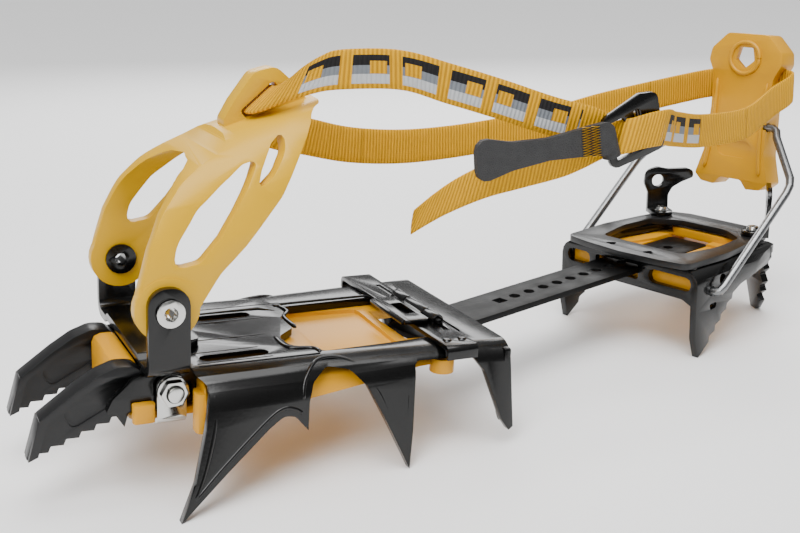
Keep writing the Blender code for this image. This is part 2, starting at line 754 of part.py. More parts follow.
def heel_channel_outline():
    """Cross-section of the heel frame: top, bends and side walls."""
    out, top, low = HEEL_HALF, HEEL_TOP, -40.0
    inn = out - HEEL_T
    outer = [(out + 1.0, low, 0), (out, -14, 0), (out, top, 6.5)]
    inner = [(inn + 1.0, low, 0), (inn, -14, 0), (inn, top - HEEL_T, 3.5)]
    far_outer = [(-x, z, r) for x, z, r in reversed(outer)]
    far_inner = [(-x, z, r) for x, z, r in inner]
    return rounded([*outer, *far_outer, *far_inner, *reversed(inner)], 0, 4)


def heel_side_outline():
    """Side outline: front leg with a saw-toothed rear edge, then the low rear rim."""
    teeth = []
    start, end, count = (10.2, -29.4), (31.0, -9.4), 5
    for k in range(count):
        t0, t1 = k / count, (k + 1) / count
        y0 = start[0] + (end[0] - start[0]) * t0
        z0 = start[1] + (end[1] - start[1]) * t0
        y1 = start[0] + (end[0] - start[0]) * t1
        z1 = start[1] + (end[1] - start[1]) * t1
        teeth.append((y0, z0, 0))
        teeth.append((y0 + 0.4, (z0 + z1) / 2 + 0.6, 0.8))
        teeth.append(((y0 + y1) / 2 + 0.6, z1 - 0.4, 0.8))
    return rounded(
        [(0, HEEL_TOP + 1, 0), (0, -26, 0), (2.6, GROUND - HEEL_AT[2], 0), *teeth, (33, -8.0, 2),
         (46, -5.0, 5), (60, -4.6, 2), (64, -2.0, 2), (64, HEEL_TOP + 1, 0)],
        0, 2,
    )


def rear_leg_outline():
    """A rear leg seen square on: u runs inward from the frame's corner, teeth on the outer edge."""
    low = (GROUND - HEEL_AT[2] + 0.35) / math.cos(math.radians(LEG_LEAN))
    teeth = [
        (-1.5, -3.0, 0.6), (3.4, -7.0, 0.8), (1.8, -9.4, 0.4), (7.4, -13.3, 0.8), (5.4, -17.0, 0.4),
        (9.8, -20.4, 0.8), (8.4, -22.6, 0.4), (14.6, -26.4, 0.8), (12.2, -28.8, 0.4),
    ]
    inner = [(24.0, low, 0), (25.5, -19.0, 3), (22.5, -7.0, 5), (13.0, -1.5, 5), (11.0, HEEL_TOP - 1, 0)]
    return rounded([(-3.0, HEEL_TOP - 1, 0), *teeth, (18.5, low, 0), *inner], 0, 2)


def leg_place(side):
    """Plane of a rear leg: it faces back and leans outwards at the foot."""
    u = Vector((-side * 0.83, 0.558, 0)).normalized()
    n = Vector((side * 0.558, 0.83, 0)).normalized()
    lean = math.radians(LEG_LEAN)
    up = Vector((0, 0, math.cos(lean))) - n * math.sin(lean)
    out = n * math.cos(lean) + Vector((0, 0, math.sin(lean)))
    turn = Matrix((u, up, out)).transposed().to_4x4()
    return at(side * 31.8, 61.6, 0) @ turn


def guide_place(side):
    """Plane of a heel guide: u runs rear-inward, the plate faces out and back."""
    u = Vector((-side * 0.55, 0.835, 0)).normalized()
    n = Vector((side * 0.835, 0.55, 0)).normalized()
    turn = Matrix((u, (0, 0, 1), n)).transposed().to_4x4()
    return at(side * GUIDE_X, GUIDE_Y, 0) @ turn, n


def build_heel_frame(section, black):
    body = plate("heel_frame", heel_channel_outline(), 64, at(0, 32, 0) @ FACE, section)
    combine(body, block("heel_side", heel_side_outline(), 120, SIDE, section), "INTERSECT")
    plan = [(HEEL_HALF + 3, -1, 0), (HEEL_HALF + 3, 30, 30), (33.5, 64.5, 0)]
    plan_outline = rounded([*plan, *[(-x, y, r) for x, y, r in reversed(plan)]], 0, 3)
    combine(body, block("heel_plan", plan_outline, 120, at(), section), "INTERSECT")
    wall = rounded(
        [(-HEEL_HALF + 1.2, -12.5, 0), (-30, -9.6, 4), (30, -9.6, 4), (HEEL_HALF - 1.2, -12.5, 0),
         (HEEL_HALF - 1.2, 0, 0), (33, HEEL_TOP - 0.6, 2), (-33, HEEL_TOP - 0.6, 2),
         (-HEEL_HALF + 1.2, 0, 0)],
        0, 3,
    )
    front = block("heel_front", wall, 2.8, at(0, 1.4, 0) @ FACE, section)
    extras = [front]
    for i, s in enumerate((-1, 1)):
        extras.append(block(f"rear_leg_{i}", rear_leg_outline(), 2.8, leg_place(s), section))
        extras.append(rod(f"ring_boss_{i}", 4, 1.2, at(s * 29, 4.5, HEEL_TOP - 0.5), section, 12, True))
    join(body, *extras)
    middle = [(-25, 7.5, 3), (25, 7.5, 3), (27, 30, 10), (21, 60, 3), (-21, 60, 3), (-27, 30, 10)]
    crescent = rounded([(9.6, -12.2), (15.2, -12.2), (14.6, -14.6), (10.6, -15.0)], 0.8, 2)
    cut(
        body,
        block("cut_middle", rounded(middle, 3, 3), 20, at(0, 0, HEEL_TOP), section),
        block("cut_tail", oblong(-19, 19, 50, 80, 2), 20, at(0, 0, HEEL_TOP), section),
        block("cut_front_near", oblong(12, 34, -5.6, 0.4, 2.4), 12, at(0, 0, 0) @ FACE, section),
        block("cut_front_far", oblong(-34, -21, -5.6, 0.4, 2.4), 12, at(0, 0, 0) @ FACE, section),
        block("cut_bar_mouth", oblong(-17.6, 6.4, -6.2, 0.5, 1), 12, at(0, 0, 0) @ FACE, section),
        rod("cut_bail", WIRE_R + FIT, 100, at(0, BAIL_Y, BAIL_Z) @ ACROSS, section, 16, True),
        rod("cut_side_hole", 2.4, 100, at(0, 18.6, -2.7) @ ACROSS, section, 14, True),
        block("cut_crescent", crescent, 100, SIDE, section),
        rod("cut_screw_l", 1.8, 20, at(-GUIDE_X + 5, GUIDE_Y - 3.3, HEEL_TOP), section, 12, True),
        rod("cut_screw_r", 1.8, 20, at(GUIDE_X - 5, GUIDE_Y - 3.3, HEEL_TOP), section, 12, True),
    )
    dress(body, black)


def build_ring_plate(section, steel):
    half = [(0, -6.2, 0), (20, -4.4, 12), (32.8, -2.0, 4), (34.2, 26, 40), (31.4, 50, 16), (28.6, 66.4, 4)]
    far = [(-x, y, r) for x, y, r in reversed(half[1:])]
    outline = rounded([*half, (17, 71, 8), (-17, 71, 8), *far], 0, 4)
    inside = [(21.6, 9.5, 4), (26.0, 30, 30), (24.4, 49.6, 5), (12.4, 57.2, 12)]
    opening = rounded([*inside, *[(-x, y, r) for x, y, r in reversed(inside)]], 0, 5)
    holes = [
        opening,
        rounded([(-14, 0.6), (-7.4, -0.6), (-9.2, 4.6)], 0.8, 1),
        rounded([(14, 0.6), (9.2, 4.6), (7.4, -0.6)], 0.8, 1),
        ring(-GUIDE_X + 5, GUIDE_Y - 3.3, 1.8, 12),
        ring(GUIDE_X - 5, GUIDE_Y - 3.3, 1.8, 12),
    ]
    dress(plate("heel_ring_plate", outline, RING_T, at(0, 0, RING_Z + RING_T / 2), section, holes), steel)


def build_heel_antiball(section, yellow):
    low = [(3.2, -8.4, 2), (14, -10.4, 6), (48, -9.4, 6), (68, -5.4, 2)]
    side = rounded([(3.2, -0.2, 1), *low, (68, -0.2, 1)], 0, 2)
    body = plate("heel_antiball_plate", side, 72, SIDE, section)
    plan = [(32.5, 0, 0), (32.5, 34, 10), (27.0, 58, 3), (17.0, 70, 4)]
    combine(
        body,
        plate(
            "antiball_plan", rounded([*plan, *[(-x, y, r) for x, y, r in reversed(plan)]], 0, 3), 60, at(),
            section, cutter=True,
        ),
        "INTERSECT",
    )
    channel = oblong(-17.2, 6.0, -5, 57, 0.5)
    tunnel = oblong(-17.2, 6.0, 50, 80, 0.5)
    dish = rounded([(-19, 14), (19, 14), (21, 30), (15, 52), (-15, 52), (-21, 30)], 4, 3)
    join(body, block("antiball_lip_rear", oblong(-18.4, 18.4, 57, 68, 3, 3), 3.6, at(0, 0, 1.1), section))
    cut(
        body,
        block("cut_heel_channel", channel, 12, at(0, 0, 6 - 4.3), section),
        block("cut_heel_tunnel", tunnel, 3.2, at(0, 0, 1.6 - 4.3), section),
        block("cut_heel_dish", dish, 4, at(0, 0, 0.6), section),
    )
    dress(body, yellow)


def build_latch(section, steel):
    """Spring leaf whose peg drops into a hole of the linking bar."""
    z = 0.2
    leaf = plate("length_latch", oblong(-13.6, 2.6, 8.4, 24, 2), 1.0, at(0, 0, z), section)
    mid = -HEEL_AT[0]
    join(
        leaf,
        rod("latch_button", 2.4, 2.6, at(mid, 14, z + 1.2), section, 14, True),
        rod("latch_peg", 1.6, 1.2, at(mid, 14, z - 0.6), section, 12, True),
    )
    dress(leaf, steel)


def build_guides(section, black, screw_steel):
    seat = RING_Z + RING_T + FIT
    shape = rounded(
        [(-5.3, 0, 0), (5.3, 0, 0), (5.0, 8.5, 3), (7.0, 12.2, 4), (11.5, 14.6, 4), (17.4, 16.8, 1.2),
         (17.2, 20.2, 2), (14.0, 21.4, 2), (4.0, 21.4, 3), (-1.0, 22.6, 3), (-6.6, 21.0, 5), (-7.4, 14.6, 5),
         (-5.3, 10, 3)],
        0, 3,
    )
    for name, s in (("right", 1), ("left", -1)):
        place, normal = guide_place(s)
        lift = place @ at(0, seat, 0)
        guide = plate(f"{name}_heel_guide", shape, GUIDE_T, lift, section, [ring(-0.6, 15.8, 3.0, 16)])
        foot = rounded([(-5.3, -11, 5), (5.3, -11, 5), (5.3, 0.9, 0), (-5.3, 0.9, 0)], 0, 4)
        u = Vector((-s * 0.55, 0.835, 0)).normalized()
        flat = Matrix((u, normal, (0, 0, 1))).transposed().to_4x4()
        base = at(s * GUIDE_X, GUIDE_Y, seat + GUIDE_T / 2) @ flat
        tread = block(f"{name}_guide_foot", foot, GUIDE_T, base, section)
        join(guide, tread)
        sx, sy = s * (GUIDE_X - 5), GUIDE_Y - 3.3
        cut(guide, rod(f"{name}_foot_bore", 1.8, 20, at(sx, sy, seat), section, 12, True))
        dress(guide, black)
        head_z = seat + GUIDE_T + FIT + 0.8
        screw = rod(f"{name}_guide_screw", 1.4, head_z - 0.6, at(sx, sy, (head_z + 0.6) / 2), section, 12)
        head = rod(f"{name}_screw_head", 3.1, 1.6, at(sx, sy, head_z), section, 18, True, 2.4)
        join(screw, head)
        cut(
            screw,
            block(f"{name}_drive_a", oblong(-2, 2, -0.4, 0.4, 0.1, 1), 1, at(sx, sy, head_z + 0.8), section),
            block(f"{name}_drive_b", oblong(-0.4, 0.4, -2, 2, 0.1, 1), 1, at(sx, sy, head_z + 0.8), section),
        )
        dress(screw, screw_steel)


def build_bail(section, bail, steel):
    """Heel bail: one wire, pinned in the side walls and running through the lever."""
    near = [
        (33.8, BAIL_Y, BAIL_Z), (39.2, BAIL_Y, BAIL_Z), (40.9, BAIL_Y + 0.8, BAIL_Z + 0.6),
        (41.4, BAIL_Y + 2.8, BAIL_Z + 2.2), (41.8, 56.5, 29.6), (41.4, 59.6, 32.4), (39.8, 62.2, 35.2),
        (22.5, LEVER_Y - 3.4, LEVER_Z - 3.6), (20.6, LEVER_Y - 1.0, LEVER_Z - 1.0), (18.4, LEVER_Y, LEVER_Z),
    ]
    path = [*near, *[(-x, y, z) for x, y, z in reversed(near)]]
    dress(tube("wire_bail", path, WIRE_R, section), steel, bail)


def build_lever(section, lever, yellow):
    """Moulded heel lever: a front face with two side walls, open at the back."""
    base = at(0, 76.6, 25) @ turn_about("X", -LEVER_TILT)
    half = [
        (5.5, 1.6, 2), (9.0, -2.4, 1), (16.0, -1.8, 1.5), (19.8, 1.6, 1.5), (16.2, 14, 14), (15.2, 34, 30),
        (15.8, 50, 10), (19.2, 56.5, 3), (18.4, 62, 3), (10.5, 69.6, 4),
    ]
    outer = rounded([*half, *mirrored(half)], 0, 3)
    depth = 11.0
    body = plate("heel_lever", outer, depth, base @ at(0, depth / 2, 0) @ FACE, section)
    inner_half = [
        (9.0, 3.0, 2), (13.0, 4.0, 2), (12.4, 16, 8), (11.6, 34, 20), (12.0, 50, 6), (12.8, 57, 3),
        (8.0, 65.4, 3),
    ]
    inner = rounded([*inner_half, *mirrored(inner_half)], 0, 3)
    cavity = block("cut_cavity", inner, depth, base @ at(0, 3.0 + depth / 2, 0) @ FACE, section)
    penta = rounded([(0, 53.4), (5.0, 57.6), (3.6, 63.4), (-3.6, 63.4), (-5.0, 57.6)], 0.8, 2)
    dent = oblong(-9, 9, 12, 20, 3.6, 3)
    slot = rounded([(4.2, 38.2), (8.6, 38.2), (8.6, 54.6), (4.2, 54.6)], 1, 2)
    side_place = base @ SIDE
    cut(
        body,
        cavity,
        block("cut_penta", penta, 40, base @ FACE, section),
        block("cut_dent", dent, 1.6, base @ FACE, section),
        block("cut_strap_way", slot, 60, side_place, section),
        rod("cut_pivot", WIRE_R + FIT, 60, at(0, LEVER_Y, LEVER_Z) @ ACROSS, section, 16, True),
    )
    dress(body, yellow, lever)


# ---------------------------------------------------------------- strap and buckle


def ribbon(name, path, parent, material_used, width=STRAP_W, steps=4):
    """A flat strap along (position, width direction) pairs."""
    spots = smooth_path([p for p, _ in path], steps)
    sides = smooth_path([Vector(w).normalized() for _, w in path], steps)
    rows = []
    for spot, side in zip(spots, sides):
        reach = side.normalized() * width / 2
        rows.append([spot - reach, spot + reach])
    obj = sheet(name, rows, STRAP_T, parent, 0.0)
    dress(obj, material_used)
    return obj


UPPER = (
    ((0.9, -73.06, 87.17), (0, 0.79, 0.61)),
    ((7.4, -72.6, 87.8), (0, 0.78, 0.62)),
    ((12.6, -66.6, 91.2), (0.1, 0.6, 0.79)),
    ((15.6, -58.0, 95.4), (0.1, 0.3, 0.95)),
    ((18.6, -49.6, 97.4), (0.1, 0.1, 0.99)),
    ((26.0, -31.2, 96.9), (0.1, -0.05, 1)),
    ((31.0, -14.9, 91.7), (0.1, 0.15, 1)),
    ((35.0, 2.4, 85.8), (0.05, 0.25, 1)),
    ((38.0, 21.0, 79.0), (0.0, 0.3, 1)),
    ((39.0, 36.5, 74.4), (0.0, 0.3, 1)),
)
LOWER = (
    ((-0.9, -73.06, 87.17), (0, 0.79, 0.61)),
    ((-7.2, -72.6, 85.6), (0, 0.76, 0.65)),
    ((-11.0, -69.0, 79.4), (0, 0.72, 0.69)),
    ((-12.6, -62.6, 73.0), (0, 0.6, 0.8)),
    ((-14.0, -50.0, 69.6), (0, 0.3, 0.95)),
    ((-20.0, -30.1, 64.0), (0, 0.1, 1)),
    ((-34.0, 20.5, 57.5), (0, 0, 1)),
    ((-43.0, 75.0, 59.0), (0, -0.05, 1)),
    ((-51.0, 135.1, 65.0), (0, -0.05, 1)),
    ((-57.5, 172.0, 67.6), (0, -0.05, 1)),
)
HEEL_LOOP = (
    ((-22.0, 192.4, 70.0), (0.0, -0.05, 1)),
    ((-16.5, 188.0, 68.0), (0, -0.1, 1)),
    ((-12.5, 176.0, 65.6), (0, -0.1, 1)),
    ((0.0, 146.5, 59.8), (0, -0.06, 1)),
    ((14.0, 111.3, 61.8), (0, 0.02, 1)),
    ((27.0, 84.3, 66.4), (0, 0.1, 1)),
    ((35.6, 66.0, 69.6), (0, 0.2, 1)),
)
TAIL = (
    ((36.6, 44.0, 66.0), (0, 0.25, 1)),
    ((37.0, 28.7, 62.0), (0, 0.25, 1)),
    ((35.0, -1.7, 58.2), (0, 0.25, 1)),
    ((33.0, -18.0, 52.0), (0.0, 0.4, 1)),
    ((31.0, -31.0, 44.6), (0.0, 0.55, 1)),
)


def build_straps(base, webbing):
    ribbon("strap_upper", UPPER, base, webbing)
    ribbon("strap_lower", LOWER, base, webbing)
    ribbon("strap_heel_loop", HEEL_LOOP, base, webbing)
    ribbon("strap_tail", TAIL, base, webbing)


def build_buckle(base, tab_frame, black, bare, rubber):
    """Frame buckle at the near side, its bars upright, with a pull tab on the front bar."""
    tilt = turn_about("X", BUCKLE_TILT)
    middle = at(*BUCKLE_AT) @ tilt @ SIDE
    corners = [(-12.5, -9.6, 3), (11.5, -10.6, 3), (13.0, 10.6, 3), (6.0, 12.6, 3), (-12.5, 9.6, 3)]
    holes = [oblong(-9.6, -3.0, -7.2, 7.2, 1), oblong(1.0, 4.4, -7.6, 8.0, 1.6)]
    dress(plate("buckle_frame", rounded(corners, 3, 3), 2.0, middle, base, holes), black)
    post = at(BUCKLE_AT[0] - 3.0, *BUCKLE_AT[1:]) @ tilt
    bar = rod("buckle_roller", 1.5, 15.0, post @ at(0, 4.0, 0), base, 14)
    dress(bar, bare)
    tab = rounded(
        [(-29.0, -8.6, 4), (-15, -5.4, 20), (0, -4.2, 30), (17, -5.2, 10), (27.6, -6.6, 4), (27.6, 6.2, 4),
         (17, 5.4, 10), (0, 3.6, 30), (-15, 4.4, 20), (-29.0, 8.0, 4)],
        3, 3,
    )
    place = at(45.2, 16.0, 69.2) @ turn_about("X", 3) @ SIDE
    pull = plate("pull_tab", tab, 2.2, place, base)
    front_bar = at(*TAB_AT) @ tilt
    join(pull, rod("tab_sleeve", 3.4, 9.5, front_bar, base, 16, True))
    cut(pull, rod("tab_bore", 2.1, 30, front_bar, base, 14, True))
    dress(pull, rubber, tab_frame)


def main():
    clear_scene()
    black = material("black_steel", (0.012, 0.012, 0.013), 0.22, 0.6)
    grey = material("grey_steel", (0.045, 0.046, 0.048), 0.42, 0.7)
    silver = material("stainless_steel", (0.55, 0.55, 0.54), 0.28, 1.0)
    cage_yellow = material("cage_yellow", (1.0, 0.62, 0.0), 0.35, 0.0)
    ball_yellow = material("antiball_yellow", (1.0, 0.50, 0.006), 0.45, 0.0)
    webbing = material("yellow_webbing", (0.93, 0.46, 0.008), 0.85, 0.0)
    rubber = material("grey_rubber", (0.07, 0.07, 0.07), 0.8, 0.0)

    base = frame("crampon_base", (-CENTRE[0], -CENTRE[1], -GROUND), Matrix())
    front = frame("front_section", (0, 0, 0), turn_about("X", -FRONT_PITCH), base)
    bar = frame("bar_section", (BAR_X, 0, 0), turn_about("Z", HEEL_YAW), base)
    heel = frame("heel_section", HEEL_AT, Matrix(), bar)
    cage_hinge = frame("cage_hinge", (0, HINGE_Y, HINGE_Z), Matrix(), front)
    clip_hinge = frame("clip_hinge", (5, CLIP_Y, CLIP_Z), Matrix(), front)
    bail_hinge = frame("bail_hinge", (0, BAIL_Y, BAIL_Z), Matrix(), heel)
    lever_hinge = frame("lever_hinge", (0, LEVER_Y, LEVER_Z), Matrix(), heel)
    tab_hinge = frame("tab_hinge", TAB_AT, turn_about("X", BUCKLE_TILT), base)

    build_front_frame(front, black)
    build_point("left_front_point", -POINT_X, front, grey)
    build_point("right_front_point", POINT_X, front, grey)
    build_point_hardware(front, grey, silver)
    build_bracket(front, silver)
    build_post_strip(front, black)
    build_hinge_rivets(front, silver, black)
    build_front_antiball(front, ball_yellow)
    build_bar_clip(front, clip_hinge, black)
    build_toe_cage(front, cage_hinge, cage_yellow)
    build_bar(bar, grey)
    build_heel_frame(heel, black)
    build_ring_plate(heel, grey)
    build_heel_antiball(heel, ball_yellow)
    build_latch(heel, grey)
    build_guides(heel, black, silver)
    build_bail(heel, bail_hinge, silver)
    build_lever(heel, lever_hinge, cage_yellow)
    build_straps(base, webbing)
    build_buckle(base, tab_hinge, black, silver, rubber)


main()
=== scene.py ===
# %% [markdown]
# # A strap-on ice crampon for a left boot
# A crampon is a spiked steel sole that is tied under a mountain boot. Two pressed steel frames carry the
# spikes. A perforated bar links them, so the length can be set to the boot. The toe sits in a moulded cage,
# the heel is held by a wire bail with a lever, and one woven strap runs round the ankle between the two.
#
# The engineering model gives every rigid piece and its joints. This notebook dresses those pieces with real
# finishes, adds the small pressed and sewn details, and replaces the plain strap solids with woven webbing.

import math

import bmesh
import bpy
from mathutils import Matrix, Vector


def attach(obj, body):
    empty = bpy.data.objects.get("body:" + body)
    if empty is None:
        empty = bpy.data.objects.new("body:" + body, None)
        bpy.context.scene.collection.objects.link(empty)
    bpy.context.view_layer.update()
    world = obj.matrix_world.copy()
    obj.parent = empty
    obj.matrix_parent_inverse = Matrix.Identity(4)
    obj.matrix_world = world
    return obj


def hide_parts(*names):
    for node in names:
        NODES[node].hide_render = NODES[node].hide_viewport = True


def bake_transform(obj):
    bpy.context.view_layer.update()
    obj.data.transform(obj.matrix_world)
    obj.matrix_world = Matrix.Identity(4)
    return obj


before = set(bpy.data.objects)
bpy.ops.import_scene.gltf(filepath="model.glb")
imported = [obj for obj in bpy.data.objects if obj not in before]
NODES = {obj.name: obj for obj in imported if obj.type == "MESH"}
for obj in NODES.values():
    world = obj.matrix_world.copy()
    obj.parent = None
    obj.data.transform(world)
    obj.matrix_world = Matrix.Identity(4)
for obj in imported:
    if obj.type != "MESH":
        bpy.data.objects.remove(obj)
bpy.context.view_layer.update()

# %% [markdown]
# ## Working frames
# The front frame is pitched a few degrees, toe up, because the boot sole curves up at the toe. The bar and
# the heel turn inwards, which makes this a left crampon. Details are easiest to place in the frame of the
# section they belong to, in millimetres. Two small functions turn such a place into metres in the object.

# %% Frames of the two sections
MM = 0.001
BASE = Matrix.Translation((0.01272, -0.01713, 0.0369))
FRONT = BASE @ Matrix.Rotation(math.radians(-3.75), 4, "X")
BAR = BASE @ Matrix.Translation((0.00174, 0, 0)) @ Matrix.Rotation(math.radians(14.93), 4, "Z")
HEEL = BAR @ Matrix.Translation((0.00564, 0.10435, -0.00216))


def place(section, point):
    """A point of a section, in millimetres, as a point of the object in metres."""
    return section @ (Vector(point) * MM)


def in_base(points):
    return [place(BASE, p) for p in points]


print("heel origin", [round(v, 4) for v in HEEL.translation])

# %% [markdown]
# ## Helpers
# Colours are written as hex values, as a paint chart gives them, and turned to linear light once. One
# function adds a shader node with its settings and links, so each finish reads as a short recipe.

# %% Helper functions
def linear(hex_colour):
    """sRGB hex to linear RGBA."""
    made = []
    for i in (0, 2, 4):
        c = int(hex_colour[i : i + 2], 16) / 255
        made.append(c / 12.92 if c <= 0.04045 else ((c + 0.055) / 1.055) ** 2.4)
    return (*made, 1.0)


def add(tree, kind, settings=None, **links):
    """Adds a node, sets its properties, and sets or links its inputs by name or by place."""
    node = tree.nodes.new(kind)
    for key, value in (settings or {}).items():
        setattr(node, key, value)
    for key, value in links.items():
        by_place = key[0] == "i" and key[1:].isdigit()
        socket = node.inputs[int(key[1:]) if by_place else key.replace("_", " ")]
        if isinstance(value, bpy.types.NodeSocket):
            tree.links.new(value, socket)
        else:
            socket.default_value = value
    return node


def ramp(tree, factor, stops):
    """A colour ramp through (place, value or colour) stops."""
    node = add(tree, "ShaderNodeValToRGB", Fac=factor)
    while len(node.color_ramp.elements) < len(stops):
        node.color_ramp.elements.new(0.5)
    for element, (spot, value) in zip(node.color_ramp.elements, stops):
        element.position = spot
        element.color = value if hasattr(value, "__len__") else (value, value, value, 1)
    return node.outputs["Color"]


def finish_of(name, colour, roughness, metallic=0.0, **more):
    """A material with its Principled shader ready, and the tree to build on."""
    made = bpy.data.materials.new(name)
    made.use_nodes = True
    shader = made.node_tree.nodes["Principled BSDF"]
    shader.inputs["Base Color"].default_value = linear(colour)
    shader.inputs["Roughness"].default_value = roughness
    shader.inputs["Metallic"].default_value = metallic
    for key, value in more.items():
        shader.inputs[key.replace("_", " ")].default_value = value
    return made, made.node_tree, shader


def bump(tree, shader, height, distance):
    node = add(tree, "ShaderNodeBump", Strength=1.0, Distance=distance, Height=height)
    tree.links.new(node.outputs["Normal"], shader.inputs["Normal"])


def noise(tree, scale, detail=3.0, roughness=0.5):
    where = add(tree, "ShaderNodeTexCoord").outputs["Object"]
    grain = add(tree, "ShaderNodeTexNoise", Vector=where, Scale=scale, Detail=detail, Roughness=roughness)
    return grain.outputs["Fac"]


# %% [markdown]
# ## Steel finishes
# The pressed frames are chromoly steel with a thick glossy black powder coat. A powder coat flows out like
# syrup as it cures, so it keeps a faint orange peel about 1.5 mm across. The points, bar and ring plate have
# a thinner, satin coat. The bolt, bracket and bail are bare stainless steel: polished, or drawn for the wire.

# %% Steel finishes
PEEL = 1 / 0.0015  # bumps per metre of orange peel


def powder_coat(name, colour, roughness, peel, shine=0.4):
    """A powder coat with orange peel of a given depth in metres. The gloss drifts a little over the piece."""
    made, tree, shader = finish_of(name, colour, roughness, IOR=1.52, Specular_IOR_Level=shine)
    drift = ramp(tree, noise(tree, 60.0, 4.0, 0.6), ((0.3, roughness * 0.85), (0.7, roughness * 1.2)))
    tree.links.new(drift, shader.inputs["Roughness"])
    bump(tree, shader, noise(tree, PEEL, 1.0), peel)
    return made


def bare_steel(name, colour, roughness, grain):
    """Uncoated steel: fine changes of gloss and, where grain isn't 0, a surface grain that deep in metres."""
    made, tree, shader = finish_of(name, colour, roughness, 1.0)
    drift = ramp(tree, noise(tree, 900.0), ((0.3, roughness * 0.8), (0.7, roughness * 1.3)))
    tree.links.new(drift, shader.inputs["Roughness"])
    if grain:
        bump(tree, shader, noise(tree, 4000.0, 2.0), grain)
    return made


BLACK = powder_coat("powder-coated chromoly steel, gloss black", "050505", 0.2, 0.00002)
GREY = powder_coat("powder-coated chromoly steel, satin graphite", "111112", 0.36, 0.00002)
BAR_GREY = powder_coat("powder-coated spring steel, satin black", "080808", 0.5, 0.00002, 0.15)
RING_GREY = powder_coat("powder-coated steel, worn satin", "161617", 0.38, 0.00003)
POLISHED = bare_steel("polished stainless steel", "C9C9C6", 0.16, 0.000004)
WIRE = bare_steel("drawn stainless steel wire", "7E7F80", 0.3, 0.0)
print("orange peel", round(PEEL), "per metre")

# %% [markdown]
# ## Plastics
# The toe cage and lever are injection moulded polyamide, which is stiff. The antiball plates are a softer
# thermoplastic that snow slides off. Moulded plastic takes a fine texture from the tool.

# %% Plastics and rubber
def moulded(name, colour, roughness, texture, depth):
    """Moulded plastic with a tool texture of so many bumps per metre and a depth in metres."""
    made, tree, shader = finish_of(name, colour, roughness, IOR=1.53, Specular_IOR_Level=0.35)
    bump(tree, shader, noise(tree, texture, 2.0), depth)
    return made


CAGE = moulded("injection moulded polyamide, signal yellow", "CF9F00", 0.38, 1500.0, 0.000015)
LEVER = moulded("injection moulded polyamide, golden yellow", "C88F00", 0.38, 1500.0, 0.000015)
BALL = moulded("thermoplastic elastomer, warm yellow", "D09200", 0.42, 1100.0, 0.00002)


PEBBLE = 0.0008  # size of the grain, in metres


def leather_grain(name, colour):
    """Rubberised fabric: a pebbled grain, and a colour that drifts between two close greys."""
    made, tree, shader = finish_of(name, colour, 0.62, IOR=1.5)
    where = add(tree, "ShaderNodeTexCoord").outputs["Object"]
    cells = add(tree, "ShaderNodeTexVoronoi", {"feature": "DISTANCE_TO_EDGE"}, Vector=where, Scale=1 / PEBBLE)
    height = ramp(tree, cells.outputs["Distance"], ((0.0, 0.0), (0.25, 1.0)))
    bump(tree, shader, height, 0.00012)
    greys = ramp(tree, noise(tree, 300.0), ((0.35, linear("232324")), (0.7, linear("2B2B2C"))))
    tree.links.new(greys, shader.inputs["Base Color"])
    return made


TAB = leather_grain("rubberised fabric, dark grey", "474748")
THREAD = finish_of("polyester thread, yellow", "E0A800", 0.7)[0]
print("plastics ready")

# %% [markdown]
# ## Webbing
# The strap is 13.5 mm polyester webbing, woven with ribs across its width about every 1.5 mm. The weave is
# drawn from a mark that each strap piece carries: the distance along the strap and across it, in metres, and
# which face it is. Part of the strap has a plain woven-in pattern of hooked blocks, in black, mid grey and
# light grey bands.

# %% Webbing materials
STRAP_W = 0.0135
RIB = 0.00155
YARN_ACROSS, YARN_ALONG = 0.00055, 0.0005
BLOCK_PITCH = 0.0168
BLOCK_SHARE = 0.74  # part of each pitch that the block fills
BLOCK_HALF = 0.36  # half of the block's width, as a part of the strap's
HOOK_HALF_LENGTH, HOOK_HALF_WIDTH = 0.17, 0.16  # the gap in a block, as parts of the pitch and of the width


def maths(tree, operation, *values):
    """One step of arithmetic on numbers or sockets."""
    node = add(tree, "ShaderNodeMath", {"operation": operation}, **{f"i{i}": v for i, v in enumerate(values)})
    return node.outputs[0]


def all_of(tree, *tests):
    """1 where every test is 1."""
    both = tests[0]
    for test in tests[1:]:
        both = maths(tree, "MULTIPLY", both, test)
    return both


def off_by(tree, value, middle):
    return maths(tree, "ABSOLUTE", maths(tree, "SUBTRACT", value, middle))


def block_pattern(tree, mark, start, end, face):
    """1 inside the blocks, from start to end along the strap, on one face. Every second gap is further on."""
    along, level = mark["X"], maths(tree, "DIVIDE", mark["Y"], STRAP_W)
    cell = maths(tree, "DIVIDE", maths(tree, "SUBTRACT", along, start), BLOCK_PITCH)
    phase = maths(tree, "FRACT", cell)
    odd = maths(tree, "GREATER_THAN", maths(tree, "FRACT", maths(tree, "MULTIPLY", cell, 0.5)), 0.5)
    gap_middle = maths(tree, "ADD", maths(tree, "MULTIPLY", odd, 0.3), 0.22)
    gap = all_of(
        tree,
        maths(tree, "LESS_THAN", off_by(tree, phase, gap_middle), HOOK_HALF_LENGTH),
        maths(tree, "LESS_THAN", off_by(tree, level, 0.55), HOOK_HALF_WIDTH),
    )
    return all_of(
        tree,
        maths(tree, "LESS_THAN", phase, BLOCK_SHARE),
        maths(tree, "LESS_THAN", off_by(tree, level, 0.5), BLOCK_HALF),
        maths(tree, "SUBTRACT", 1.0, gap),
        maths(tree, "GREATER_THAN", maths(tree, "MULTIPLY", mark["Z"], face), 0.5),
        maths(tree, "GREATER_THAN", along, start),
        maths(tree, "LESS_THAN", along, end),
    )


